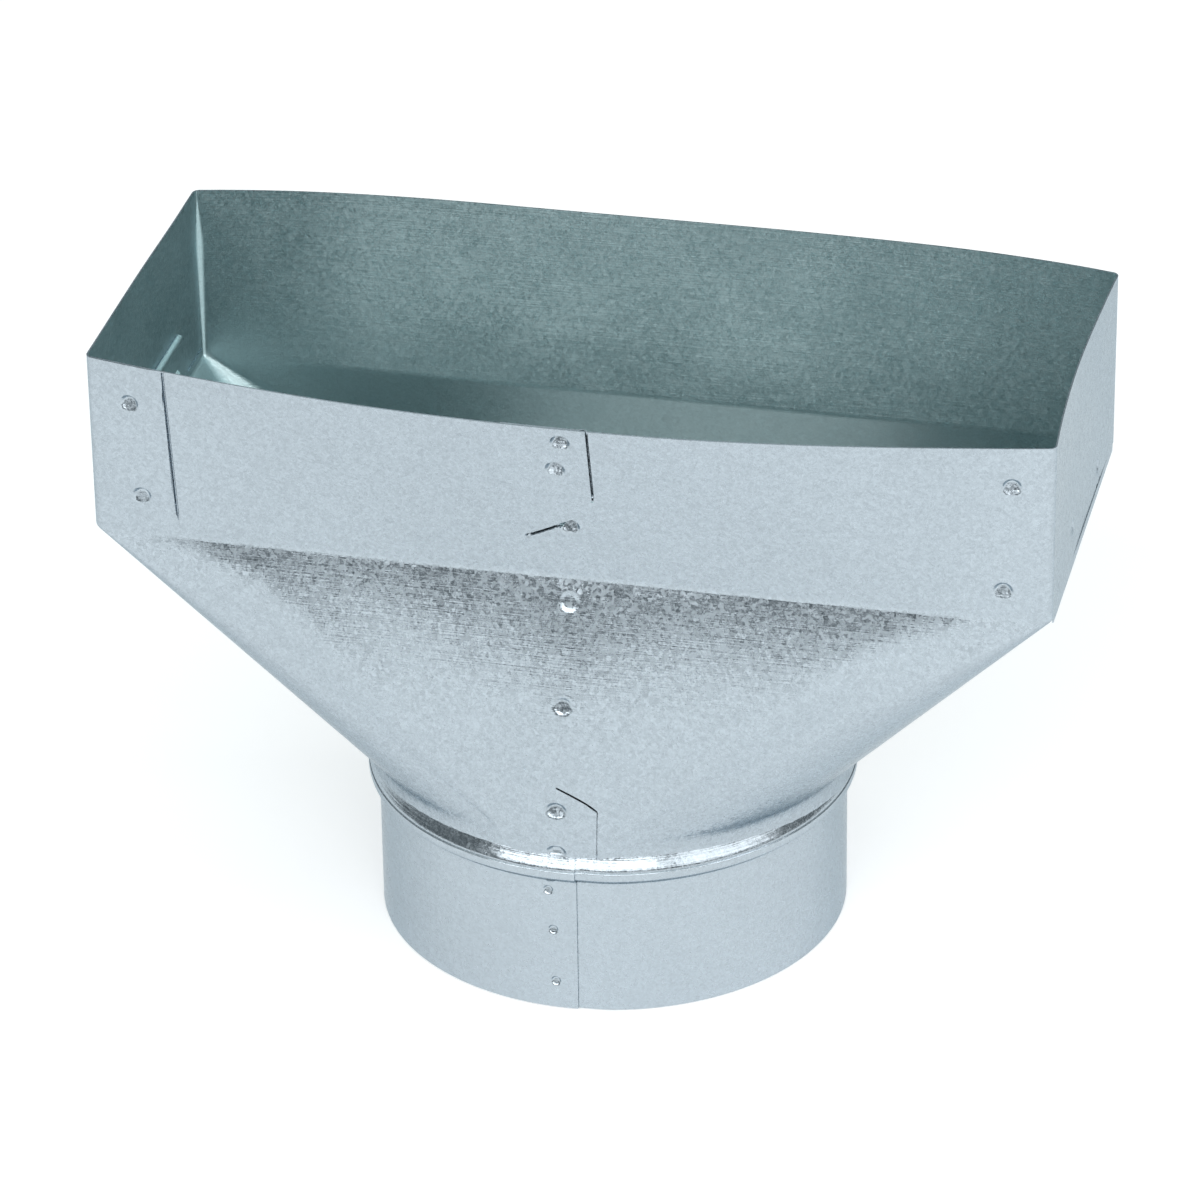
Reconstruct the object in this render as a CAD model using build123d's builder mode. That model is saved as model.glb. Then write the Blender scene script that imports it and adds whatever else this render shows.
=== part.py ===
from build123d import *
import math
import os

os.makedirs("parts", exist_ok=True)

# Straight register boot in galvanised sheet: an open box on top, a taper from
# rectangle to round, and a beaded round collar below. Millimetres, +Z up, the
# origin at the centre of the collar's lower edge, the lapped seam facing -Y.

# Box walls
SHEET = 0.4
LENGTH = 254.0
WIDTH = 101.6
FOLD_HEIGHT = 124.6
WALL_HEIGHT = 50.4
CORNER_RADIUS = 2.2
FRONT_BOW = 14.2
BACK_BOW = 7.4
RIGHT_BOW = 1.8

# Taper between the fold and the neck
NECK_HEIGHT = 48.0
NECK_RISE = 3.0
NECK_DIAMETER = 128.8
NECK_SPREAD = 1.6
NECK_FLAT = 13.0

# Front seam, where the two edges of the blank lap; the notch reaches a share
# of the wall's height above the fold and of the taper's height below it
LAP_EDGE = 9.2
LAP_UNDER = -9.5
NECK_LAP_EDGE = 10.6
NECK_LAP_UNDER = -9.0
NOTCH_TOP = 0.266
NOTCH_BOTTOM = 0.706
NOTCH_SLOPE = 27.0

# Corner flanges and the upturned end flanges
FLANGE_WIDTH = 21.0
FLANGE_LIFT = 6.5
END_FLANGE_HEIGHT = 18.0
END_FLANGE_WIDTH = 60.0
END_FLANGE_CHAMFER = 6.0
END_LIP = 3.0
END_DROP = 1.2

# Clinch points pressed through the laps, their heights as shares of the wall's
# height above the fold, the taper's height below it, or the plain collar
CLINCH_DIAMETER = 5.2
CLINCH_DEPTH = 0.9
CLINCH_SIDES = 16
COLLAR_CLINCH_DIAMETER = 3.2
COLLAR_CLINCH_DEPTH = 0.5
SEAM_CLINCH_X = 1.2
SEAM_CLINCH_WALL = (0.9, 0.722, 0.341)
SEAM_CLINCH_TAPER = (0.084, 0.458, 0.857)
CORNER_CLINCH_INSET = 12.3
CORNER_CLINCH_WALL = (0.77, 0.198)
END_CLINCH_OFFSETS = (23.6, -17.2)
END_CLINCH_WALL = (0.117, 0.194)
COLLAR_CLINCH_X = -2.0
COLLAR_CLINCH_PLAIN = (0.876, 0.609, 0.218)

# Collar
COLLAR_DIAMETER = 127.0
COLLAR_PLAIN = 39.4
BEAD_CREST_HEIGHT = 42.8
BEAD_CREST_FLAT = 0.6
BEAD_PROJECTION = 2.8
SLEEVE_RISE = 3.0
SLEEVE_CLEARANCE = 0.1
COLLAR_LAP_EDGE = 4.5
COLLAR_LAP_WIDTH = 15.0
COLLAR_LAP_EASE = 9.0

# Values that follow
HALF_LENGTH = LENGTH / 2
HALF_WIDTH = WIDTH / 2
RIM_HEIGHT = FOLD_HEIGHT + WALL_HEIGHT
NECK_TOP = NECK_HEIGHT + NECK_RISE
NECK_RADIUS = NECK_DIAMETER / 2
TAPER_HEIGHT = FOLD_HEIGHT - NECK_TOP
COLLAR_RADIUS = COLLAR_DIAMETER / 2
TAPER_HALF_LENGTH = HALF_LENGTH - 0.8 * SHEET
LAP_ROOT = -(HALF_LENGTH - CORNER_RADIUS)
BEAD_CREST = COLLAR_RADIUS + BEAD_PROJECTION
BEAD_SEAT = (
    (BEAD_CREST, BEAD_CREST_HEIGHT - BEAD_CREST_FLAT / 2),
    (BEAD_CREST, BEAD_CREST_HEIGHT + BEAD_CREST_FLAT / 2),
    (NECK_RADIUS + SHEET, NECK_HEIGHT),
)
END_SLOPE = math.atan2(TAPER_HALF_LENGTH - NECK_RADIUS - NECK_SPREAD, TAPER_HEIGHT)
BEND_SHIFT = SHEET * math.tan(END_SLOPE / 2)


def side(start, middle, end):
    """One side of an outline: a straight line, or an arc where the side is bowed."""
    straight = abs((middle - start).cross(end - start).Z) < 1e-3
    if straight:
        Line(start, end)
    else:
        ThreePointArc(start, middle, end)


def back_side(start, end, bow, reach):
    """The back side: straight, or bowed most near its ends and flatter between."""
    if bow < 1e-3:
        Line(start, end)
        return
    shares = (0.8, 0.45, 0, -0.45, -0.8)
    Spline(start, *[Vector(u * reach, start.Y + bow * (1 - u**4)) for u in shares], end)


def outline(height, reach, corner, bows, stretches):
    """Closed outline of the sheet's outside or inside at one height.

    reach holds where the front and the end sides stop short of the corner and
    where they stand, corner the point the corner arc passes, bows how far the
    front, back, left and right sides stand out. Each stretch of the front side
    runs from one x and lift to another, with a step of the sheet between them.
    """
    front_reach, front_stand, end_reach, end_stand = reach
    front_bow, back_bow, left_bow, right_bow = bows

    def front(x, lift):
        return Vector(x, -(front_stand + front_bow * (1 - (x / front_reach) ** 2) + lift))

    first, last = stretches[0], stretches[-1]
    start, end = front(first[0], first[1]), front(last[2], last[3])
    corner_x, corner_y = corner
    with BuildSketch(Plane.XY.offset(height)) as section:
        with BuildLine():
            left_front = Vector(-end_stand, -end_reach)
            left_back = Vector(-end_stand, end_reach)
            right_front = Vector(end_stand, -end_reach)
            right_back = Vector(end_stand, end_reach)
            back_left = Vector(-front_reach, front_stand)
            back_right = Vector(front_reach, front_stand)
            ThreePointArc(left_front, Vector(-corner_x, -corner_y - first[1] / 2), start)
            above = None
            for x0, lift0, x1, lift1 in stretches:
                if above is not None and (above - front(x0, lift0)).length > 1e-3:
                    Line(above, front(x0, lift0))
                side(front(x0, lift0), front((x0 + x1) / 2, (lift0 + lift1) / 2), front(x1, lift1))
                above = front(x1, lift1)
            ThreePointArc(end, Vector(corner_x, -corner_y - last[3] / 2), right_front)
            side(right_front, Vector(end_stand + right_bow, 0), right_back)
            ThreePointArc(right_back, Vector(corner_x, corner_y), back_right)
            back_side(back_right, back_left, back_bow, front_reach)
            ThreePointArc(back_left, Vector(-corner_x, corner_y), left_back)
            side(left_back, Vector(-end_stand - left_bow, 0), left_front)
        make_face()
    return section.sketch


def rounded(height, half_length, half_width, radius, bows, stretches):
    """Outline of a rectangle with rounded corners and bowed sides."""
    inset = radius * (1 - math.sqrt(0.5))
    reach = (half_length - radius, half_width, half_width - radius, half_length)
    return outline(height, reach, (half_length - inset, half_width - inset), bows, stretches)


def round_end(height, radius, stretches):
    """Outline of the neck, spread a little at both ends, its sides short arcs."""
    stand = math.sqrt(radius**2 - NECK_FLAT**2)
    bow = radius - stand
    middle = radius * math.sqrt(0.5)
    reach = (NECK_FLAT, stand, NECK_FLAT, stand + NECK_SPREAD)
    return outline(height, reach, (middle + 0.7 * NECK_SPREAD, middle), (bow, bow, bow, bow), stretches)


def lap_lift(x, root, edge):
    """Lift of the upper sheet, growing evenly towards its free edge."""
    return SHEET * (x - root) / (edge - root)


def wall_outside(rise):
    reach = HALF_LENGTH - CORNER_RADIUS
    flange = -(HALF_LENGTH - FLANGE_WIDTH)
    lift = lap_lift(flange, LAP_ROOT, LAP_EDGE)
    stretches = [
        (-reach, SHEET, flange, SHEET + lift),
        (flange, lift, LAP_EDGE, SHEET),
        (LAP_EDGE, 0, reach, 0),
    ]
    bows = (rise * FRONT_BOW, rise * BACK_BOW, 0, -rise * RIGHT_BOW)
    height = FOLD_HEIGHT + rise * WALL_HEIGHT
    return rounded(height, HALF_LENGTH, HALF_WIDTH, CORNER_RADIUS, bows, stretches)


def wall_inside(rise):
    reach = HALF_LENGTH - CORNER_RADIUS
    flange = HALF_LENGTH - FLANGE_WIDTH
    lift = lap_lift(LAP_UNDER, LAP_ROOT, LAP_EDGE)
    stretches = [
        (-reach, 0, LAP_UNDER, lift),
        (LAP_UNDER, 0, flange, 0),
        (flange, -SHEET, reach, -SHEET),
    ]
    bows = (rise * FRONT_BOW, rise * BACK_BOW, 0, -rise * RIGHT_BOW)
    height = FOLD_HEIGHT + BEND_SHIFT + rise * WALL_HEIGHT
    return rounded(height, HALF_LENGTH - SHEET, HALF_WIDTH - SHEET, CORNER_RADIUS - SHEET, bows, stretches)


def wall_plain(rise, inset):
    reach = HALF_LENGTH - CORNER_RADIUS
    bows = (rise * FRONT_BOW, rise * BACK_BOW, 0, -rise * RIGHT_BOW)
    height = FOLD_HEIGHT + rise * WALL_HEIGHT
    stretches = [(-reach, 0, reach, 0)]
    return rounded(height, HALF_LENGTH - inset, HALF_WIDTH - inset, CORNER_RADIUS - inset, bows, stretches)


def taper_lap(reach, under, edge, lift, inside):
    """Front side of the taper: the lap's free edge outside, its hidden edge inside.

    The upper sheet rises evenly up to the hidden edge and lies flat on the lower
    one from there, and the lower sheet is pressed in a hair at the free edge.
    """
    if inside:
        press = -0.1 * SHEET
        return [(-reach, 0, under, lift), (under, 0, edge, press), (edge, press, reach, 0)]
    return [(-reach, 0, under, lift), (under, lift, edge, lift), (edge, 0, reach, 0)]


def taper_sections(inset, shift, lift):
    """Fold and neck outlines of the taper, at an inset from the outside.

    The corner arcs turn by the same angle at the fold and at the neck, so each
    corner of the taper is a part of a slanting cone.
    """
    inside = inset > 0
    half_length = TAPER_HALF_LENGTH - inset
    half_width = HALF_WIDTH - inset
    radius = CORNER_RADIUS - inset
    neck = NECK_RADIUS - inset
    turn = math.pi / 2 - 2 * math.asin(NECK_FLAT / neck)
    drop = radius / 2 * (1 - math.tan(turn / 4))
    reach = half_length - radius
    places = (reach, half_width, half_width - radius, half_length)
    corner = (half_length - drop, half_width - drop)
    fold_lap = taper_lap(reach, LAP_UNDER, LAP_EDGE, lift, inside)
    neck_lap = taper_lap(NECK_FLAT, NECK_LAP_UNDER, NECK_LAP_EDGE, lift, inside)
    return [
        outline(FOLD_HEIGHT + shift, places, corner, (0, 0, 0, 0), fold_lap),
        round_end(NECK_TOP + shift, neck, neck_lap),
    ]


def clinch_plane(part, start, direction):
    """Plane on the sheet's near surface, facing back along the ray."""
    point, normal = part.find_intersection_points(Axis(start, direction))[0]
    if normal.dot(Vector(direction)) > 0:
        normal = -normal
    return Plane(origin=point, z_dir=normal)


# Outside of the lower sheet, a hair proud of it
with BuildPart() as lower_sheet:
    hair = -0.2 * SHEET
    loft(sections=[wall_plain(0, hair), wall_plain(1, hair)], ruled=True)
    loft(sections=taper_sections(hair, 0, 0.01 * SHEET), ruled=True)

# What stands above the lower sheet where the upper one is cut away
with BuildPart() as notch:
    notch_reach = 2 * NECK_LAP_EDGE
    notch_rise = math.tan(math.radians(NOTCH_SLOPE)) * (notch_reach - LAP_UNDER)
    notch_top = FOLD_HEIGHT + NOTCH_TOP * WALL_HEIGHT
    notch_bottom = FOLD_HEIGHT - NOTCH_BOTTOM * TAPER_HEIGHT
    with BuildSketch(Plane.XZ):
        with BuildLine():
            Polyline(
                (LAP_UNDER, notch_bottom),
                (notch_reach, notch_bottom - notch_rise),
                (notch_reach, notch_top + notch_rise),
                (LAP_UNDER, notch_top),
                close=True,
            )
        make_face()
        with Locations((LAP_ROOT, FOLD_HEIGHT - FLANGE_LIFT)):
            Rectangle(FLANGE_WIDTH, 2 * FLANGE_LIFT, align=(Align.MIN, Align.MIN))
    extrude(amount=WIDTH)
    add(lower_sheet.part, mode=Mode.SUBTRACT)

# Upturned flanges of the taper, inside both end walls
with BuildPart() as end_flanges:
    loft(sections=[wall_plain(0, 0.8 * SHEET), wall_plain(1, 0.8 * SHEET)], ruled=True)
    loft(sections=[wall_plain(0, 1.8 * SHEET), wall_plain(1, 1.8 * SHEET)], ruled=True, mode=Mode.SUBTRACT)
    lip = HALF_WIDTH - CORNER_RADIUS
    half = END_FLANGE_WIDTH / 2
    shoulder = FOLD_HEIGHT + END_LIP
    top = FOLD_HEIGHT + END_FLANGE_HEIGHT
    with BuildSketch(Plane.YZ.offset(-LENGTH)):
        with BuildLine():
            Polyline(
                (-lip, FOLD_HEIGHT),
                (lip, FOLD_HEIGHT),
                (lip, shoulder),
                (half, shoulder),
                (half, top - END_FLANGE_CHAMFER),
                (half - END_FLANGE_CHAMFER, top),
                (END_FLANGE_CHAMFER - half, top),
                (-half, top - END_FLANGE_CHAMFER),
                (-half, shoulder),
                (-lip, shoulder),
                close=True,
            )
        make_face()
    extrude(amount=2 * LENGTH, mode=Mode.INTERSECT)

with BuildPart() as boot_body:
    loft(sections=[wall_outside(0), wall_outside(1)], ruled=True)
    outside = taper_sections(0, 0, SHEET)
    loft(sections=outside, ruled=True)
    extrude(outside[1], amount=NECK_TOP - BEAD_CREST_HEIGHT, dir=(0, 0, -1))
    add(notch.part, mode=Mode.SUBTRACT)
    loft(sections=[wall_inside(0), wall_inside(1)], ruled=True, mode=Mode.SUBTRACT)
    inside = taper_sections(SHEET, BEND_SHIFT, 0.85 * SHEET)
    loft(sections=inside, ruled=True, mode=Mode.SUBTRACT)
    extrude(inside[1], amount=NECK_TOP, dir=(0, 0, -1), mode=Mode.SUBTRACT)
    # Lower edge trimmed to sit on the bead, lower at the ends where the neck is spread
    with BuildSketch(Plane.XZ):
        with BuildLine():
            Polyline((0, 0), *BEAD_SEAT, (0, NECK_HEIGHT), close=True)
        make_face()
    revolve(axis=Axis.Z, mode=Mode.SUBTRACT)
    add(end_flanges.part)
    # Free lower edges of the end walls, hanging outside the taper
    with BuildSketch(Plane.XY.offset(FOLD_HEIGHT)):
        with GridLocations(LENGTH - SHEET, 0, 2, 1):
            Rectangle(SHEET, 2 * (HALF_WIDTH - CORNER_RADIUS))
    extrude(amount=-END_DROP)
    # Clinch points: a button pressed inwards, open outside
    inset = HALF_LENGTH - CORNER_CLINCH_INSET
    seam = [FOLD_HEIGHT + share * WALL_HEIGHT for share in SEAM_CLINCH_WALL]
    seam += [FOLD_HEIGHT - share * TAPER_HEIGHT for share in SEAM_CLINCH_TAPER]
    rays = [((SEAM_CLINCH_X, -LENGTH, z), (0, 1, 0)) for z in seam]
    for share in CORNER_CLINCH_WALL:
        z = FOLD_HEIGHT + share * WALL_HEIGHT
        rays += [((-inset, -LENGTH, z), (0, 1, 0)), ((inset, -LENGTH, z), (0, 1, 0))]
    for y, share in zip(END_CLINCH_OFFSETS, END_CLINCH_WALL):
        z = FOLD_HEIGHT + share * WALL_HEIGHT
        rays += [((LENGTH, y, z), (-1, 0, 0)), ((-LENGTH, y, z), (1, 0, 0))]
    planes = [clinch_plane(boot_body.part, start, direction) for start, direction in rays]
    with BuildSketch(*[plane.offset(-SHEET / 2) for plane in planes]):
        RegularPolygon(CLINCH_DIAMETER / 2 + SHEET, CLINCH_SIDES)
    extrude(amount=-1.5 * SHEET - CLINCH_DEPTH)
    with BuildSketch(*[plane.offset(-CLINCH_DEPTH) for plane in planes]):
        RegularPolygon(CLINCH_DIAMETER / 2, CLINCH_SIDES)
    extrude(amount=2 * CLINCH_DEPTH, mode=Mode.SUBTRACT)

boot_body.part.label = "boot_body"
export_step(boot_body.part, "parts/boot_body.step")


def at(angle, radius):
    """Point at an angle from the front seam, positive towards +X."""
    turn = math.radians(angle)
    return Vector(radius * math.sin(turn), -radius * math.cos(turn))


with BuildPart() as collar:
    # Rolled strip, its ends lapped at the front with the lower one eased inwards
    outer = COLLAR_RADIUS
    inner = COLLAR_RADIUS - SHEET
    under = COLLAR_RADIUS - 2 * SHEET
    edge = math.degrees(COLLAR_LAP_EDGE / COLLAR_RADIUS)
    hidden = edge - math.degrees(COLLAR_LAP_WIDTH / COLLAR_RADIUS)
    ease = edge + COLLAR_LAP_EASE
    with BuildSketch():
        with BuildLine():
            ThreePointArc(at(edge, outer), at(edge - 155, outer), at(ease, outer))
            ThreePointArc(at(ease, outer), at((ease + edge) / 2, outer - SHEET / 2), at(edge, inner))
            Line(at(edge, inner), at(edge, outer))
        make_face()
        with BuildLine():
            ThreePointArc(at(hidden, inner), at(hidden - 145, inner), at(ease, inner))
            ThreePointArc(at(ease, inner), at((ease + edge) / 2, inner - SHEET / 2), at(edge, under))
            ThreePointArc(at(edge, under), at((edge + hidden) / 2, under), at(hidden, under))
            Line(at(hidden, under), at(hidden, inner))
        make_face(mode=Mode.SUBTRACT)
    extrude(amount=COLLAR_PLAIN)
    # Bead that carries the body, and the sleeve inside its neck
    sleeve = NECK_RADIUS - SHEET - SLEEVE_CLEARANCE
    with BuildSketch(Plane.XZ):
        with BuildLine():
            Polyline(
                (outer, COLLAR_PLAIN - SHEET),
                (outer, COLLAR_PLAIN),
                *BEAD_SEAT,
                (sleeve, NECK_HEIGHT),
                (sleeve, NECK_HEIGHT + SLEEVE_RISE),
            )
            offset(amount=SHEET, kind=Kind.INTERSECTION, side=Side.LEFT, closed=True)
        make_face()
    revolve(axis=Axis.Z)
    heights = [share * COLLAR_PLAIN for share in COLLAR_CLINCH_PLAIN]
    rays = [((COLLAR_CLINCH_X, -LENGTH, z), (0, 1, 0)) for z in heights]
    planes = [clinch_plane(collar.part, start, direction) for start, direction in rays]
    with BuildSketch(*[plane.offset(-SHEET / 2) for plane in planes]):
        RegularPolygon(COLLAR_CLINCH_DIAMETER / 2 + SHEET, CLINCH_SIDES)
    extrude(amount=-1.5 * SHEET - COLLAR_CLINCH_DEPTH)
    with BuildSketch(*[plane.offset(-COLLAR_CLINCH_DEPTH) for plane in planes]):
        RegularPolygon(COLLAR_CLINCH_DIAMETER / 2, CLINCH_SIDES)
    extrude(amount=2 * COLLAR_CLINCH_DEPTH, mode=Mode.SUBTRACT)

collar.part.label = "collar"
export_step(collar.part, "parts/collar.step")
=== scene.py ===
import math

import bpy
import numpy as np
from mathutils import Matrix, Vector
from mathutils.geometry import delaunay_2d_cdt


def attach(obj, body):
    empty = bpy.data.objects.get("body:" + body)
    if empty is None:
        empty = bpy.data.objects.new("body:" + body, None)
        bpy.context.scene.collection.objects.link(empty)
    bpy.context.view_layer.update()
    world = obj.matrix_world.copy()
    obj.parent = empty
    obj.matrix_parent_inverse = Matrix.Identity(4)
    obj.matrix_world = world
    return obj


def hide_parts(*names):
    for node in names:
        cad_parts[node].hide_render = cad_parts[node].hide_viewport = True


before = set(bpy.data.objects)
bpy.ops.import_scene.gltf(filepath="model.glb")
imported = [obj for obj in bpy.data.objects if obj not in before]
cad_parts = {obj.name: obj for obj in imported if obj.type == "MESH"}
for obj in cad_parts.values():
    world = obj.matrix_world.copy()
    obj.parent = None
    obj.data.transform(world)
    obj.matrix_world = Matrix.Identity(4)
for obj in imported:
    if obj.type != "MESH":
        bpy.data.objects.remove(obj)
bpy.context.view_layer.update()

# Sizes in millimetres, as in the part's source
SHEET = 0.4
FOLD, RIM = 124.6, 175.0
HALF_LENGTH, HALF_WIDTH, CORNER = 127.0, 50.8, 2.2
FRONT_BOW, BACK_BOW, RIGHT_BOW = 14.2, 7.4, 1.8
NECK_TOP, NECK_EDGE, NECK_RADIUS, NECK_SPREAD, NECK_FLAT = 51.0, 48.0, 64.4, 1.6, 13.0
BELLY, CREASE = 2.5, 2.5
TAPER_INSET = 0.32
REACH_X, REACH_Y = HALF_LENGTH - CORNER, HALF_WIDTH - CORNER
HIDDEN_EDGE, FREE_EDGE, NOTCH_EDGE, TAB_EDGE = -13.0, 9.2, -9.5, 11.1
LAP_LIFT, LAP_REACH = 0.5, 120.0
FLANGE_EDGE, FLANGE_FOOT = -105.0, FOLD + 6.5
# Free edge of the lap from rim to neck, and how wide the gap beside each stretch of it stands open
LAP_PATH = [
    ((FREE_EDGE, RIM), (FREE_EDGE, 151.9), 0.6),
    ((FREE_EDGE, 151.9), (FREE_EDGE, 147.5), 0.0),
    ((FREE_EDGE, 147.5), (0.1, 142.9), 0.0),
    ((0.1, 142.9), (NOTCH_EDGE, 138.0), 1.0),
    ((NOTCH_EDGE, 138.0), (NOTCH_EDGE, 72.6), 0.0),
    ((NOTCH_EDGE, 72.6), (-0.5, 67.8), 0.0),
    ((-0.5, 67.8), (TAB_EDGE, 61.7), 0.36),
    ((TAB_EDGE, 61.7), (TAB_EDGE, NECK_EDGE), 0.4),
]

# The blank's loop: lower front, right end, back, left end, upper front
TURN = 22.0
LENGTHS = [
    REACH_X - HIDDEN_EDGE, TURN, 2 * REACH_Y, TURN, 2 * REACH_X, TURN, 2 * REACH_Y, TURN, REACH_X + TAB_EDGE,
]
STARTS = np.concatenate([[0.0], np.cumsum(LENGTHS)])
LOOP_END = STARTS[-1]
LAP_SHIFT = STARTS[8] + REACH_X + HIDDEN_EDGE
NECK_TURN = math.asin(NECK_FLAT / NECK_RADIUS)
FLANGE_GAP = ((STARTS[8] + REACH_X + FLANGE_EDGE, RIM + 1), (STARTS[8] + REACH_X - 103.8, 131.8))


def smooth(x):
    x = np.clip(x, 0.0, 1.0)
    return x * x * (3 - 2 * x)


def from_lap(x, z):
    """Distance from the lap's free edge, positive beside it, and the width of the gap there."""
    best, gap, covered = np.full(len(x), 1e9), np.zeros(len(x)), np.full(len(x), -1e9)
    for (x0, z0), (x1, z1), width in LAP_PATH:
        d = np.array([x1 - x0, z1 - z0])
        share = np.clip(((x - x0) * d[0] + (z - z0) * d[1]) / (d @ d), 0, 1)
        away = np.hypot(x - x0 - share * d[0], z - z0 - share * d[1])
        gap = np.where(away < best, width, gap)
        best = np.minimum(best, away)
        level = (z <= z0) & (z >= z1)
        covered = np.where(level, x0 + (x1 - x0) * (z - z0) / (z1 - z0), covered)
    covered = np.where(z > RIM, FREE_EDGE, np.where(z < NECK_EDGE, TAB_EDGE, covered))
    return np.where(x > covered, best, -best), gap


def groove(s, z, a, b, width):
    """Depth share of a narrow open gap along a line on the blank."""
    d = np.array(b) - np.array(a)
    share = np.clip(((s - a[0]) * d[0] + (z - a[1]) * d[1]) / (d @ d), 0, 1)
    away = np.hypot(s - a[0] - share * d[0], z - a[1] - share * d[1])
    return 1 - smooth((away - 0.6 * width) / (0.4 * width))


def loop(s):
    """Fold point, neck point, rim bow and outward lift for places along the blank."""
    part = np.clip(np.searchsorted(STARTS, s, side="right") - 1, 0, 8)
    a = s - STARTS[part]
    fold, bow = np.zeros((len(s), 2)), np.zeros((len(s), 2))
    angle, lift, plain = np.zeros(len(s)), np.zeros(len(s)), np.zeros(len(s))
    for i in range(9):
        m = part == i
        if not m.any():
            continue
        t = a[m]
        if i in (0, 8):
            x = t + (HIDDEN_EDGE if i == 0 else -REACH_X)
            fold[m] = np.stack([x, np.full_like(x, -HALF_WIDTH)], 1)
            bow[m, 1] = -FRONT_BOW * (1 - (x / REACH_X) ** 2)
            neck_x = NECK_FLAT * np.tanh(1.25 * x / NECK_FLAT)
            angle[m] = -math.pi / 2 + np.arcsin(neck_x / NECK_RADIUS)
            plain[m] = smooth((REACH_X - np.abs(x)) / 20)
            if i == 8:
                lift[m] = LAP_LIFT * smooth((x + REACH_X) / (REACH_X + HIDDEN_EDGE))
        elif i == 4:
            x = REACH_X - t
            fold[m] = np.stack([x, np.full_like(x, HALF_WIDTH)], 1)
            bow[m, 1] = BACK_BOW * (1 - (x / REACH_X) ** 4)
            neck_x = NECK_FLAT * np.tanh(1.25 * x / NECK_FLAT)
            angle[m] = math.pi / 2 - np.arcsin(neck_x / NECK_RADIUS)
            plain[m] = smooth((REACH_X - np.abs(x)) / 20)
        elif i in (2, 6):
            side = 1 if i == 2 else -1
            y = side * (t - REACH_Y)
            fold[m] = np.stack([np.full_like(y, side * HALF_LENGTH), y], 1)
            if i == 2:
                bow[m, 0] = -RIGHT_BOW * (1 - (y / REACH_Y) ** 2)
            angle[m] = (0 if i == 2 else math.pi) + side * y / REACH_Y * NECK_TURN
            plain[m] = smooth((REACH_Y - np.abs(y)) / 20)
        else:
            quarter = (i - 1) // 2
            share = t / TURN
            turn = -math.pi / 2 + math.pi / 2 * (quarter + share)
            cx = REACH_X * (1, 1, -1, -1)[quarter]
            cy = REACH_Y * (-1, 1, 1, -1)[quarter]
            fold[m] = np.stack([cx + CORNER * np.cos(turn), cy + CORNER * np.sin(turn)], 1)
            first = -math.pi / 2 + math.pi / 2 * quarter + NECK_TURN
            angle[m] = first + share * (math.pi / 2 - 2 * NECK_TURN)
    widened = NECK_SPREAD * np.cos(angle) ** 4 * np.sign(np.cos(angle))
    neck = np.stack([NECK_RADIUS * np.cos(angle) + widened, NECK_RADIUS * np.sin(angle)], 1)
    return fold, neck, bow, angle, lift, plain


def ripple(s, z):
    """Slight unevenness of a thin hand-worked sheet, in millimetres."""
    return (0.10 * np.sin(s / 19.0 + z / 23.0) + 0.08 * np.sin(s / 31.0 - z / 13.0 + 1.3)
            + 0.05 * np.sin(s / 9.0 + 0.6) * np.sin(z / 8.0 + s / 40.0))


def raw(s, z):
    """Outside of the sheet before its bends are rounded."""
    fold, neck, bow, angle, lift, plain = loop(s)
    point = np.zeros((len(s), 3))
    wall = z >= FOLD
    rise = (z - FOLD) / (RIM - FOLD)
    down = np.clip((FOLD - z) / (FOLD - NECK_TOP), 0, 1)
    taper_fold = fold.copy()
    taper_fold[:, 0] *= 1 - TAPER_INSET / HALF_LENGTH
    upper = fold + rise[:, None] * bow
    lower = taper_fold * (1 - down[:, None]) + neck * down[:, None]
    swell = BELLY * 4 * down * (1 - down) + CREASE * down * np.exp(-down / 0.13) * (1 - down)
    lower[:, 1] += swell * smooth((REACH_X - np.abs(fold[:, 0])) / 40) * np.sign(np.sin(angle))
    point[:, :2] = np.where(wall[:, None], upper, lower)
    fade = plain * smooth((z - NECK_TOP) / 12)
    front = np.abs(np.abs(fold[:, 1]) - HALF_WIDTH) < 1e-6
    push = fade * ripple(np.where(s < STARTS[1], s + LAP_SHIFT, s), z)
    point[:, 1] += np.where(front, np.sign(fold[:, 1]) * push, 0)
    point[:, 0] += np.where(front, 0, np.sign(fold[:, 0]) * push)
    lower_sheet = s < LAP_REACH
    if lower_sheet.any():
        x = s[lower_sheet] + HIDDEN_EDGE
        away, gap = from_lap(x, z[lower_sheet])
        beside_gap = smooth((away - 0.7 * gap) / (0.5 * gap + 1e-6))
        level = 0.97 * np.where(gap > 0, beside_gap, smooth((away + 0.5) / 0.2))
        past_gap = smooth((away - 0.5 * gap) / (0.4 * gap + 1e-6))
        open_gap = (gap > 0) * smooth((away + 1.2) / 0.6) * (1 - past_gap)
        lift[lower_sheet] = LAP_LIFT * level * (1 - smooth((x - 15) / 85)) - 0.6 * open_gap
    point[:, 1] -= lift
    point[:, 1] += 0.8 * groove(s, z, FLANGE_GAP[0], FLANGE_GAP[1], 0.42)
    radius = np.hypot(neck[:, 0], neck[:, 1])
    foot = NECK_EDGE - 2.45 * np.maximum(radius - NECK_RADIUS, 0)
    below = np.clip((NECK_TOP - z) / (NECK_TOP - NECK_EDGE), 0, None)
    point[:, 2] = np.where(z >= NECK_TOP, z, NECK_TOP - below * (NECK_TOP - foot))
    return point


def bend(s, z, at, reach):
    """Points on a rounded bend of the sheet."""
    share = ((at + reach - z) / (2 * reach))[:, None]
    one = np.ones_like(s)
    a, b, c = raw(s, at + reach), raw(s, at * one), raw(s, at - reach)
    b[:, :2] = (raw(s, (at + 1e-6) * one)[:, :2] + raw(s, (at - 1e-6) * one)[:, :2]) / 2
    return a * (1 - share) ** 2 + 2 * b * share * (1 - share) + c * share**2


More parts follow.
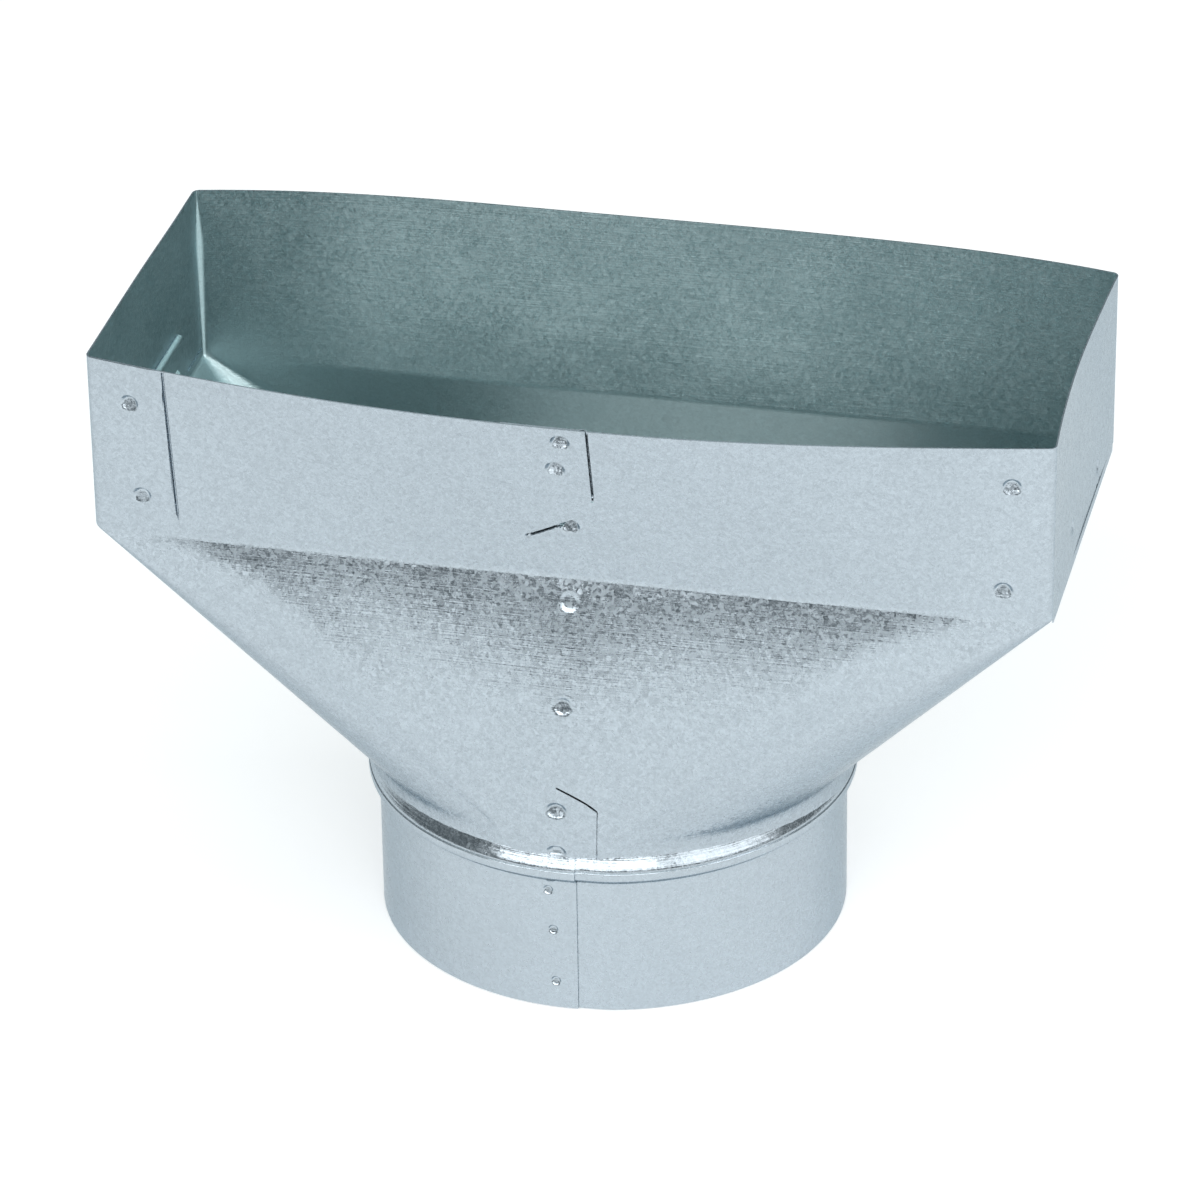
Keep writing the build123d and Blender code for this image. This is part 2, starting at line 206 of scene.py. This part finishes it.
def skin(s, z):
    point = raw(s, z)
    crumple = 0.9 + 4.0 * np.exp(-(((s - STARTS[5] + 8) / 13) ** 2))
    for at, reach in ((FOLD, crumple), (NECK_TOP, np.full_like(s, 2.6))):
        m = np.abs(z - at) < reach
        if m.any():
            point[m] = bend(s[m], z[m], at, reach[m])
    return point


def normals(surface, s, z, step=0.03):
    ds = surface(s + step, z) - surface(s - step, z)
    dz = surface(s, z + step) - surface(s, z - step)
    n = np.cross(ds, dz)
    return n / np.maximum(np.linalg.norm(n, axis=1, keepdims=True), 1e-12)


def dent(s, z, clinches):
    """Inward push of the clinch points: bowls deepest at the top, each with a faint raised rim."""
    push = np.zeros_like(s)
    for cs, cz, radius, depth, tilt in clinches:
        r = np.hypot(s - cs, z - cz) / radius
        slope = np.clip(1 + tilt * (z - cz) / radius, 0.1, 1.9)
        push += depth * slope * (1 - smooth((r - 0.5) / 0.5))
        push -= 0.025 * np.exp(-(((r - 1.12) / 0.12) ** 2))
    return push


def dented(surface, clinches):
    def with_clinches(s, z):
        near = np.zeros(len(s), bool)
        for cs, cz, radius, *_ in clinches:
            near |= np.hypot(s - cs, z - cz) < 1.8 * radius
        point = surface(s, z)
        if near.any():
            push = dent(s[near], z[near], clinches)
            point[near] -= push[:, None] * normals(surface, s[near], z[near])
        return point
    return with_clinches


def inside(polygon, s, z):
    hit = np.zeros(len(s), bool)
    for (x0, y0), (x1, y1) in zip(polygon, polygon[1:] + polygon[:1]):
        if y0 == y1:
            continue
        cross = (y0 > z) != (y1 > z)
        hit ^= cross & (s < (x1 - x0) * (z - y0) / (y1 - y0) + x0)
    return hit


def resample(corners, steps):
    """Outline points, each side cut at the given columns or rows."""
    points = []
    for (x0, y0), (x1, y1) in zip(corners, corners[1:] + corners[:1]):
        level = abs(x1 - x0) > abs(y1 - y0)
        along = steps[0] if level else steps[1]
        u0, u1 = (x0, x1) if level else (y0, y1)
        inner = along[(along > min(u0, u1) + 0.05) & (along < max(u0, u1) - 0.05)]
        inner = np.sort(inner) if u1 > u0 else np.sort(inner)[::-1]
        points.append((x0, y0))
        shares = (inner - u0) / (u1 - u0)
        points += [(x0 + (x1 - x0) * share, y0 + (y1 - y0) * share) for share in shares]
    return points


def crowded(points):
    """Places near the neck where the columns of a long panel run together."""
    fold = loop(points[:, 0])[0]
    x, z = np.abs(fold[:, 0]), points[:, 1]
    panel = (np.abs(fold[:, 1]) > HALF_WIDTH - 1e-6) & (x > 24) & (x < REACH_X - 0.01)
    return panel & ((z < NECK_TOP + 3.2) | ((z < NECK_TOP + 14) & (np.round(x / 4.3) % 3 > 0)))


def sheet_piece(name, outline, columns, rows, surface, clinches, offset=0.0, lines=(), thick=None):
    """A piece of sheet on a surface: triangulated outside, inside and cut edges."""
    border = resample(outline, (columns, rows))
    grid = np.array(np.meshgrid(columns, rows)).reshape(2, -1).T
    if surface is skin:
        border = [p for p, drop in zip(border, crowded(np.array(border))) if not drop]
        grid = grid[~crowded(grid)]
    rings = []
    for cs, cz, radius, *_ in clinches:
        grid = grid[np.hypot(grid[:, 0] - cs, grid[:, 1] - cz) > 1.55 * radius]
        for k, share in enumerate((0.0, 0.3, 0.52, 0.64, 0.76, 0.88, 1.0, 1.12, 1.24, 1.4)):
            count = 1 if share == 0 else 30
            turn = 2 * math.pi * (np.arange(count) + 0.5 * (k % 2)) / count
            rings.append(np.stack([cs + share * radius * np.cos(turn), cz + share * radius * np.sin(turn)], 1))
    for a, b, sides in lines:
        a, b = np.array(a), np.array(b)
        along = (b - a) / np.hypot(*(b - a))
        across = np.array([-along[1], along[0]])
        reach = (grid - a) @ along
        away = np.abs((grid - a) @ across)
        grid = grid[(away > max(map(abs, sides)) + 0.3) | (reach < 0) | (reach > np.hypot(*(b - a)))]
        steps = np.linspace(a, b, max(2, int(np.hypot(*(b - a)) / 1.3)))
        for side in sides:
            rings.append(steps + side * across)
    points = np.concatenate([grid] + rings) if rings else grid
    keep = inside(border, points[:, 0], points[:, 1])
    edge = np.array(border)
    for i in range(len(border)):
        a, b = edge[i], edge[(i + 1) % len(border)]
        d = b - a
        share = np.clip(((points - a) @ d) / max(d @ d, 1e-12), 0, 1)
        keep &= np.hypot(*(points - a - share[:, None] * d).T) > 0.12
    coords = [Vector(p) for p in border] + [Vector(p) for p in points[keep]]
    flat, _, faces, *_ = delaunay_2d_cdt(coords, [], [list(range(len(border)))], 1, 1e-5)
    flat = np.array([tuple(v) for v in flat])
    faces = np.array(faces)
    a, b, c = flat[faces[:, 0]], flat[faces[:, 1]], flat[faces[:, 2]]
    area = (b[:, 0] - a[:, 0]) * (c[:, 1] - a[:, 1]) - (b[:, 1] - a[:, 1]) * (c[:, 0] - a[:, 0])
    faces[area < 0] = faces[area < 0][:, ::-1]
    s, z = flat[:, 0], flat[:, 1]
    whole = dented(surface, clinches)
    n = normals(whole, s, z)
    outer = whole(s, z) + offset * n

    def inner_skin_at(s, z):
        depth = thick(z) if thick else np.full_like(z, SHEET)
        return whole(s, z) + (offset - depth)[:, None] * normals(whole, s, z)

    inner = inner_skin_at(s, z)
    n_inner = -normals(inner_skin_at, s, z) if thick else -n
    count = len(flat)
    used = {}
    for f in faces.tolist():
        for i in range(3):
            used[(f[i], f[(i + 1) % 3])] = True
    cut = [(i, j) for i, j in used if (j, i) not in used]
    rim = [[j, i, i + count, j + count] for i, j in cut]
    polygons = faces.tolist() + (faces[:, ::-1] + count).tolist() + rim
    mesh = bpy.data.meshes.new(name)
    mesh.from_pydata((np.concatenate([outer, inner]) / 1000).tolist(), [], polygons)
    mesh.update()
    mesh.polygons.foreach_set("use_smooth", [True] * len(polygons))
    mesh.polygons.foreach_set("material_index", [0] * len(faces) + [1] * len(faces) + [0] * len(cut))
    corner = []
    for f in mesh.polygons:
        flat_normal = np.array(f.normal)
        for v in f.vertices:
            turned = n[v] if v < count else n_inner[v - count]
            agrees = len(f.vertices) == 3 and turned @ flat_normal > 0.4
            corner.append(tuple(turned if agrees else flat_normal))
    mesh.normals_split_custom_set(corner)
    piece = bpy.data.objects.new(name, mesh)
    bpy.context.collection.objects.link(piece)
    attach(piece, "root")
    pieces.append(piece)
    return piece


pieces = []


def spread(*runs):
    """Sorted places: each run gives a start, an end and a number of steps."""
    return np.unique(np.round(np.concatenate([np.linspace(a, b, n + 1) for a, b, n in runs]), 4))


# Clinch points on the body: x on the front or y on the ends, height, radius, depth and tilt of the floor
SEAM = [
    (2.3, 170.0, 2.9, 1.3, 1.6), (0.3, 160.9, 2.9, 1.3, 1.6), (2.6, 141.8, 2.9, 1.4, 1.45), (1.5, 118.3, 2.9, 0.3, 0.0),
    (0.8, 90.7, 2.8, 0.5, 0.8), (-0.4, 61.1, 2.8, 0.75, 1.15), (-0.4, 48.6, 2.6, 0.8, 0.9),
]
CORNERS = [
    (-115.0, 163.3, 2.9, 0.8, 1.3), (-113.2, 135.8, 2.9, 0.8, 1.3),
    (116.3, 163.5, 2.9, 0.8, 1.3), (114.4, 133.0, 2.9, 0.8, 1.3),
]
ENDS = [(23.6, 130.5, 2.8, 0.7, 1.2), (-17.2, 134.4, 2.8, 0.7, 1.2)]


def lower_front(x):
    return x - HIDDEN_EDGE


def upper_front(x):
    return STARTS[8] + x + REACH_X


clinches = [(lower_front(x), z, *form) for x, z, *form in SEAM]
clinches += [(upper_front(x), z, *form) for x, z, *form in SEAM if z > 150 or z < 65]
clinches += [((lower_front(x) if x > 0 else upper_front(x)), z, *form) for x, z, *form in CORNERS]
clinches += [(STARTS[2] + REACH_Y + y, z, *form) for y, z, *form in ENDS]
clinches += [(STARTS[6] + REACH_Y - y, z, *form) for y, z, *form in ENDS]

columns = spread(
    (0, STARTS[1], 32), (7, 23, 12), (STARTS[1], STARTS[2], 14), (STARTS[2], STARTS[3], 20), (STARTS[3], STARTS[4], 14),
    (STARTS[4], STARTS[5], 56), (STARTS[5], STARTS[6], 14), (STARTS[6], STARTS[7], 20), (STARTS[7], STARTS[8], 14),
    (STARTS[8], LOOP_END, 32))
rows = spread(
    (RIM, FOLD + 5.0, 14), (FOLD + 5.0, FOLD + 1.0, 3), (FOLD + 0.9, FOLD - 0.9, 6), (FOLD - 1.0, FOLD - 5.0, 3),
    (FOLD - 5.0, NECK_TOP + 2.7, 26), (NECK_TOP + 2.6, NECK_TOP - 2.6, 8))
free_edge = [(upper_front(x), z) for _, (x, z), _ in LAP_PATH[::-1]]
outline = [(0, NECK_EDGE)] + free_edge + [(upper_front(FREE_EDGE), RIM), (0, RIM)]
gap_sides = (-0.55, -0.28, 0.05, 0.2, 0.35, 0.5, 0.7, 0.9, 1.15, 1.4)
gaps = [((lower_front(x0), z0), (lower_front(x1), z1), gap_sides) for (x0, z0), (x1, z1), _ in LAP_PATH]
gaps.append((FLANGE_GAP[0], FLANGE_GAP[1], (-0.8, -0.6, -0.45, -0.3, 0.0, 0.3, 0.45, 0.6, 0.8)))
body = sheet_piece("boot_sheet", outline, columns, rows, skin, clinches, 0.0, gaps)
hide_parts("boot_body")


# Corner flange outside the left corner, rising out of the end wall round the corner
def left_flange_skin(s, z):
    share = np.clip((s - STARTS[7]) / TURN, 0, 1)
    turn = math.pi + math.pi / 2 * share
    rise = smooth((s - STARTS[7]) / (TURN + 6)) * smooth((z - FLANGE_FOOT) / 9)
    out = (0.48 * rise - 0.08)[:, None]
    return skin(s, z) + out * np.stack([np.cos(turn), np.sin(turn), np.zeros_like(s)], 1)


flange_left = STARTS[7] - 8
flange_right, flange_low = upper_front(FLANGE_EDGE - 0.3), upper_front(FLANGE_EDGE + 0.9)
flange_clinches = [(upper_front(x), z, *form) for x, z, *form in CORNERS if x < 0]
left_flange = sheet_piece(
    "left_corner_flange",
    [(flange_left, FLANGE_FOOT), (flange_low, FLANGE_FOOT), (flange_right, RIM - 0.01), (flange_left, RIM - 0.01)],
    np.unique(np.concatenate([spread((flange_left, STARTS[8], 20)), spread((STARTS[8], flange_right, 6))])),
    spread((FLANGE_FOOT, RIM, 12)), left_flange_skin, flange_clinches)


# Corner flange inside the right corner
def inner_skin(s, z):
    return skin(s, z) - (SHEET + 0.08) * normals(skin, s, z)


inner_left, inner_right = lower_front(-FLANGE_EDGE), lower_front(REACH_X)
right_clinches = [(lower_front(x), z, *form) for x, z, *form in CORNERS if x > 0]
right_flange = sheet_piece(
    "right_corner_flange",
    [(inner_left, FLANGE_FOOT), (inner_right, FLANGE_FOOT), (inner_right, RIM - 0.3), (inner_left, RIM - 0.3)],
    spread((inner_left, inner_right, 6)), spread((FLANGE_FOOT, RIM, 12)), inner_skin, right_clinches)


# Upturned flanges of the taper inside both end walls, with a hemmed top, and the end walls' free lower edges
def hem(z):
    return SHEET + 1.1 * np.sqrt(np.maximum(1 - ((z - FOLD - 16.6) / 1.4) ** 2, 0.0))


def lip_skin(s, z):
    fold, _, bow, *_ = loop(s)
    return np.column_stack([fold + np.maximum(z - FOLD, 0)[:, None] / (RIM - FOLD) * bow, z])


for name, start in (("right", STARTS[2]), ("left", STARTS[6])):
    end = start + 2 * REACH_Y
    middle = start + REACH_Y
    end_clinches = [(middle + (y if name == "right" else -y), z, *form) for y, z, *form in ENDS]
    foot, shoulder, top, half, cut = FOLD + 1.2, FOLD + 3, FOLD + 18, 33.0, 6.0
    shape = [
        (-REACH_Y, foot), (REACH_Y, foot), (REACH_Y, shoulder), (half, shoulder), (half, top - cut), (half - cut, top),
        (cut - half, top), (-half, top - cut), (-half, shoulder), (-REACH_Y, shoulder),
    ]
    flange = sheet_piece(
        f"{name}_end_flange", [(middle + u, z) for u, z in shape], spread((start, end, 24)),
        spread((foot, top - 3, 6), (top - 3, top, 16)), inner_skin, end_clinches, thick=hem)
    lip_low, lip_high = FOLD - 1.2, FOLD + 1.3
    lip = sheet_piece(
        f"{name}_end_lip", [(start + 1, lip_low), (end - 1, lip_low), (end - 1, lip_high), (start + 1, lip_high)],
        spread((start, end, 16)), spread((lip_low, lip_high, 3)), lip_skin, [], -0.03)

# Collar: a rolled strip, lapped at the front, with a rolled bead under the body's edge
PROFILE = [
    (63.5, 0.0), (63.5, 20.0), (63.5, 37.6), (63.5, 39.2), (63.9, 39.8), (66.2, 41.4), (66.4, 42.2), (66.4, 43.2),
    (66.35, 43.8), (65.95, 44.0), (66.25, 44.3), (65.2, 46.3), (64.7, 47.3), (64.3, 48.2), (63.9, 48.8), (63.9, 51.0),
]
COLLAR_EDGE, COLLAR_HIDDEN, COLLAR_EASE = 4.5, -10.5, 10.0
COLLAR_RADIUS = 63.5


def rounded_profile(points, times):
    path = np.array(points)
    for _ in range(times):
        a, b = path[:-1], path[1:]
        cut = np.stack([0.75 * a + 0.25 * b, 0.25 * a + 0.75 * b], 1).reshape(-1, 2)
        path = np.concatenate([path[:1], cut[1:-1], path[-1:]])
    return path


profile = rounded_profile(PROFILE, 3)
lengths = np.concatenate([[0], np.cumsum(np.hypot(*np.diff(profile, axis=0).T))])


def collar_skin(s, t):
    r = np.interp(t, lengths, profile[:, 0])
    z = np.interp(t, lengths, profile[:, 1])
    turn = s / COLLAR_RADIUS
    r = r - (SHEET + 0.15) * (1 - smooth((s - COLLAR_EDGE - 0.3) / COLLAR_EASE))
    return np.stack([r * np.sin(turn), -r * np.cos(turn), z], 1)


collar_end = COLLAR_EDGE + 2 * math.pi * COLLAR_RADIUS
collar_clinches = [(x, z, 1.6, 0.55, 0.8) for x, z in ((-3.2, 36.2), (-2.0, 24.0), (-1.5, 8.0))]
collar_clinches += [(x + 2 * math.pi * COLLAR_RADIUS, *form) for x, *form in collar_clinches]
collar_rows = np.unique(np.concatenate([spread((0, 36, 12)), lengths[lengths > 36][::2], lengths[-1:]]))
collar = sheet_piece(
    "collar_strip", [(COLLAR_HIDDEN, 0), (collar_end, 0), (collar_end, lengths[-1]), (COLLAR_HIDDEN, lengths[-1])],
    spread((COLLAR_HIDDEN, collar_end, 150)), collar_rows, collar_skin, collar_clinches)
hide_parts("collar")


# Inner back-left corner of the box, where a bright, less metallic streak along the bend is painted as a highlight, in
# metres
CORNER_HIGHLIGHT_SPOT = (-0.12607, 0.04987, 0.0)


def galvanised(name, tint, roughness, spangle, painted_corner_highlight=False):
    """Zinc coat: small crystals that differ in tone, gloss and tilt, with faint rolling lines, and on request a painted
    highlight streak at one inner corner.
    """
    material = bpy.data.materials.new(name)
    material.use_nodes = True
    nodes, links = material.node_tree.nodes, material.node_tree.links
    shader = nodes["Principled BSDF"]
    shader.inputs["Metallic"].default_value = 1.0
    shader.inputs["Specular Tint"].default_value = (0.70, 0.75, 0.78, 1)
    place = nodes.new("ShaderNodeTexCoord")

    def voronoi(scale):
        node = nodes.new("ShaderNodeTexVoronoi")
        node.inputs["Scale"].default_value = scale
        links.new(warp.outputs["Vector"], node.inputs["Vector"])
        return node

    def noise(scale, detail, source):
        node = nodes.new("ShaderNodeTexNoise")
        node.inputs["Scale"].default_value = scale
        node.inputs["Detail"].default_value = detail
        links.new(source, node.inputs["Vector"])
        return node

    def ramp(value, low, high, to_low, to_high):
        node = nodes.new("ShaderNodeMapRange")
        for key, number in (("From Min", low), ("From Max", high), ("To Min", to_low), ("To Max", to_high)):
            node.inputs[key].default_value = number
        links.new(value, node.inputs["Value"])
        return node.outputs["Result"]

    def math_node(kind, a, b):
        node = nodes.new("ShaderNodeMath")
        node.operation = kind
        for i, value in enumerate((a, b)):
            if isinstance(value, (int, float)):
                node.inputs[i].default_value = value
            else:
                links.new(value, node.inputs[i])
        return node.outputs[0]

    def vector_node(kind, a, b):
        node = nodes.new("ShaderNodeVectorMath")
        node.operation = kind
        for i, value in enumerate((a, b)):
            if isinstance(value, tuple):
                node.inputs[i].default_value = value
            elif value is not None:
                links.new(value, node.inputs[i])
        return node

    wobble = noise(260, 2, place.outputs["Object"])
    warp = vector_node("MULTIPLY_ADD", wobble.outputs["Color"], (0.0016, 0.0016, 0.0016))
    links.new(place.outputs["Object"], warp.inputs[2])
    coarse = voronoi(950)
    fine = voronoi(2000)
    crystal = nodes.new("ShaderNodeSeparateColor")
    links.new(coarse.outputs["Color"], crystal.inputs["Color"])
    grain = nodes.new("ShaderNodeSeparateColor")
    links.new(fine.outputs["Color"], grain.inputs["Color"])
    blotch = noise(28, 3, place.outputs["Object"])
    stretch = vector_node("MULTIPLY", place.outputs["Object"], (40.0, 40.0, 2600.0))
    lines = noise(1.0, 2, stretch.outputs["Vector"])

    tone = math_node("ADD", ramp(crystal.outputs["Red"], 0, 1, -0.05 * spangle, 0.05 * spangle),
                     ramp(grain.outputs["Red"], 0, 1, -0.07 * spangle, 0.07 * spangle))
    tone = math_node("ADD", tone, ramp(blotch.outputs["Fac"], 0.3, 0.7, -0.02, 0.02))
    tone = math_node("ADD", tone, 1.0)
    # Painted highlight: near the inner back-left corner the colour is brightened and the metal made less metallic,
    # standing in for the bend's reflection
    if painted_corner_highlight:
        level = vector_node("MULTIPLY", place.outputs["Object"], (1.0, 1.0, 0.0))
        from_corner = vector_node("DISTANCE", level.outputs["Vector"], CORNER_HIGHLIGHT_SPOT)
        height = nodes.new("ShaderNodeSeparateXYZ")
        links.new(place.outputs["Object"], height.inputs["Vector"])
        width = math_node("MINIMUM", ramp(height.outputs["Z"], 0.130, 0.158, 0.0006, 0.0015),
                          ramp(height.outputs["Z"], 0.160, 0.173, 0.0015, 0.00005))
        highlight_share = ramp(math_node("DIVIDE", from_corner.outputs["Value"], width), 0.4, 1.0, 1, 0)
        tone = math_node("ADD", tone, math_node("MULTIPLY", highlight_share, 0.6))
        links.new(math_node("SUBTRACT", 1.0, math_node("MULTIPLY", highlight_share, 0.6)), shader.inputs["Metallic"])
    colour = vector_node("SCALE", None, None)
    colour.inputs[0].default_value = tint
    links.new(tone, colour.inputs["Scale"])
    links.new(colour.outputs["Vector"], shader.inputs["Base Color"])

    vary = 0.07 * spangle
    gloss = math_node("ADD", ramp(crystal.outputs["Green"], 0, 1, roughness - vary, roughness + vary),
                      ramp(grain.outputs["Green"], 0, 1, -0.05, 0.05))
    gloss = math_node("ADD", gloss, ramp(blotch.outputs["Fac"], 0.3, 0.7, -0.03, 0.03))
    links.new(gloss, shader.inputs["Roughness"])

    tilt = vector_node("SUBTRACT", coarse.outputs["Color"], (0.5, 0.5, 0.5))
    tilt_fine = vector_node("SUBTRACT", fine.outputs["Color"], (0.5, 0.5, 0.5))
    both = vector_node("MULTIPLY_ADD", tilt_fine.outputs["Vector"], (0.055 * spangle,) * 3)
    small = vector_node("MULTIPLY", tilt.outputs["Vector"], (0.055 * spangle,) * 3)
    links.new(small.outputs["Vector"], both.inputs[2])
    bump = nodes.new("ShaderNodeBump")
    bump.inputs["Strength"].default_value = 0.18
    bump.inputs["Distance"].default_value = 0.0002
    links.new(lines.outputs["Fac"], bump.inputs["Height"])
    turned = vector_node("ADD", bump.outputs["Normal"], both.outputs["Vector"])
    unit = vector_node("NORMALIZE", turned.outputs["Vector"], None)
    links.new(unit.outputs["Vector"], shader.inputs["Normal"])
    return material


sheet_metal = galvanised("galvanised_sheet", (0.41, 0.462, 0.505), 0.25, 1.0)
collar_metal = galvanised("galvanised_collar", (0.437, 0.49, 0.533), 0.23, 0.6)
# Inside faces: a copy of the same zinc, rougher, and with a brighter, greener tint than the outside that is painted
# light to lighten the shaded inside of the box; it also carries the painted corner highlight
inside_metal = galvanised("galvanised_inside", (0.45, 0.565, 0.58), 0.42, 0.55, painted_corner_highlight=True)
for piece in pieces:
    piece.data.materials.append(collar_metal if piece is collar else sheet_metal)
    piece.data.materials.append(inside_metal)

# Floor
floor_mesh = bpy.data.meshes.new("floor")
FLOOR_REACH, FLOOR_LEVEL = 6, -0.0004
floor_corners = [(x * FLOOR_REACH, y * FLOOR_REACH, FLOOR_LEVEL) for x, y in ((-1, -1), (1, -1), (1, 1), (-1, 1))]
floor_mesh.from_pydata(floor_corners, [], [(0, 1, 2, 3)])
floor = bpy.data.objects.new("floor", floor_mesh)
bpy.context.collection.objects.link(floor)
paper = bpy.data.materials.new("paper_floor")
paper.use_nodes = True
nodes, links = paper.node_tree.nodes, paper.node_tree.links
nodes.remove(nodes["Principled BSDF"])
matt = nodes.new("ShaderNodeBsdfDiffuse")
matt.inputs["Color"].default_value = (0.82, 0.82, 0.82, 1)
glow = nodes.new("ShaderNodeEmission")
path = nodes.new("ShaderNodeLightPath")
seen = nodes.new("ShaderNodeMath")
seen.operation = "MAXIMUM"
links.new(path.outputs["Is Camera Ray"], seen.inputs[0])
links.new(path.outputs["Is Glossy Ray"], seen.inputs[1])
seen_through = nodes.new("ShaderNodeMath")
seen_through.operation = "MAXIMUM"
links.new(seen.outputs[0], seen_through.inputs[0])
links.new(path.outputs["Is Transmission Ray"], seen_through.inputs[1])
level = nodes.new("ShaderNodeMath")
level.operation = "MULTIPLY"
level.inputs[1].default_value = 0.36
links.new(seen_through.outputs[0], level.inputs[0])
links.new(level.outputs[0], glow.inputs["Strength"])
both = nodes.new("ShaderNodeAddShader")
links.new(matt.outputs[0], both.inputs[0])
links.new(glow.outputs[0], both.inputs[1])
links.new(both.outputs[0], nodes["Material Output"].inputs["Surface"])
floor_mesh.materials.append(paper)


# Studio: a large soft box above and in front, two smaller ones at the right, a dull room
def soft_box(name, place, target, size, energy):
    lamp = bpy.data.lights.new(name, "AREA")
    lamp.shape = "RECTANGLE"
    lamp.size, lamp.size_y = size
    lamp.energy = energy
    holder = bpy.data.objects.new(name, lamp)
    holder.location = place
    holder.rotation_euler = (Vector(target) - Vector(place)).to_track_quat("-Z", "Y").to_euler()
    bpy.context.collection.objects.link(holder)
    return holder


soft_box("key", (-0.12, -1.74, 1.24), (0, 0, 0.1), (2.9, 1.2), 36)
soft_box("side", (1.7, -0.83, 0.85), (0, 0, 0.1), (1.7, 0.8), 9)
soft_box("top", (1.5, -0.1, 1.55), (0, 0, 0.1), (1.0, 1.0), 7)

world = bpy.data.worlds.new("room")
bpy.context.scene.world = world
world.use_nodes = True
sky, wires = world.node_tree.nodes, world.node_tree.links
direction = sky.new("ShaderNodeTexCoord")
height = sky.new("ShaderNodeSeparateXYZ")
wires.new(direction.outputs["Generated"], height.inputs["Vector"])
shade = sky.new("ShaderNodeValToRGB")
shade.color_ramp.elements[0].position = 0.25
shade.color_ramp.elements[0].color = (0.13, 0.15, 0.16, 1)
shade.color_ramp.elements[1].position = 0.75
shade.color_ramp.elements[1].color = (0.64, 0.71, 0.72, 1)
wires.new(height.outputs["Z"], shade.inputs["Fac"])
wires.new(shade.outputs["Color"], sky["Background"].inputs["Color"])

# Camera at the photograph's viewpoint
azimuth, elevation, roll = math.radians(13.463), math.radians(29.388), math.radians(-0.859)
back = Vector((math.sin(azimuth) * math.cos(elevation), -math.cos(azimuth) * math.cos(elevation), math.sin(elevation)))
right = Vector((math.cos(azimuth), math.sin(azimuth), 0))
up = back.cross(right)
c, s = math.cos(roll), math.sin(roll)
across, upright = c * right + s * up, c * up - s * right
lens = bpy.data.cameras.new("camera")
lens.sensor_fit = "HORIZONTAL"
lens.sensor_width = 36
lens.lens = 191.24
camera = bpy.data.objects.new("camera", lens)
camera.matrix_world = Matrix((
    (across.x, upright.x, back.x, 0.34325), (across.y, upright.y, back.y, -1.44675),
    (across.z, upright.z, back.z, 0.92679), (0, 0, 0, 1)))
bpy.context.collection.objects.link(camera)
bpy.context.scene.camera = camera
bpy.context.scene.view_settings.view_transform = "Standard"
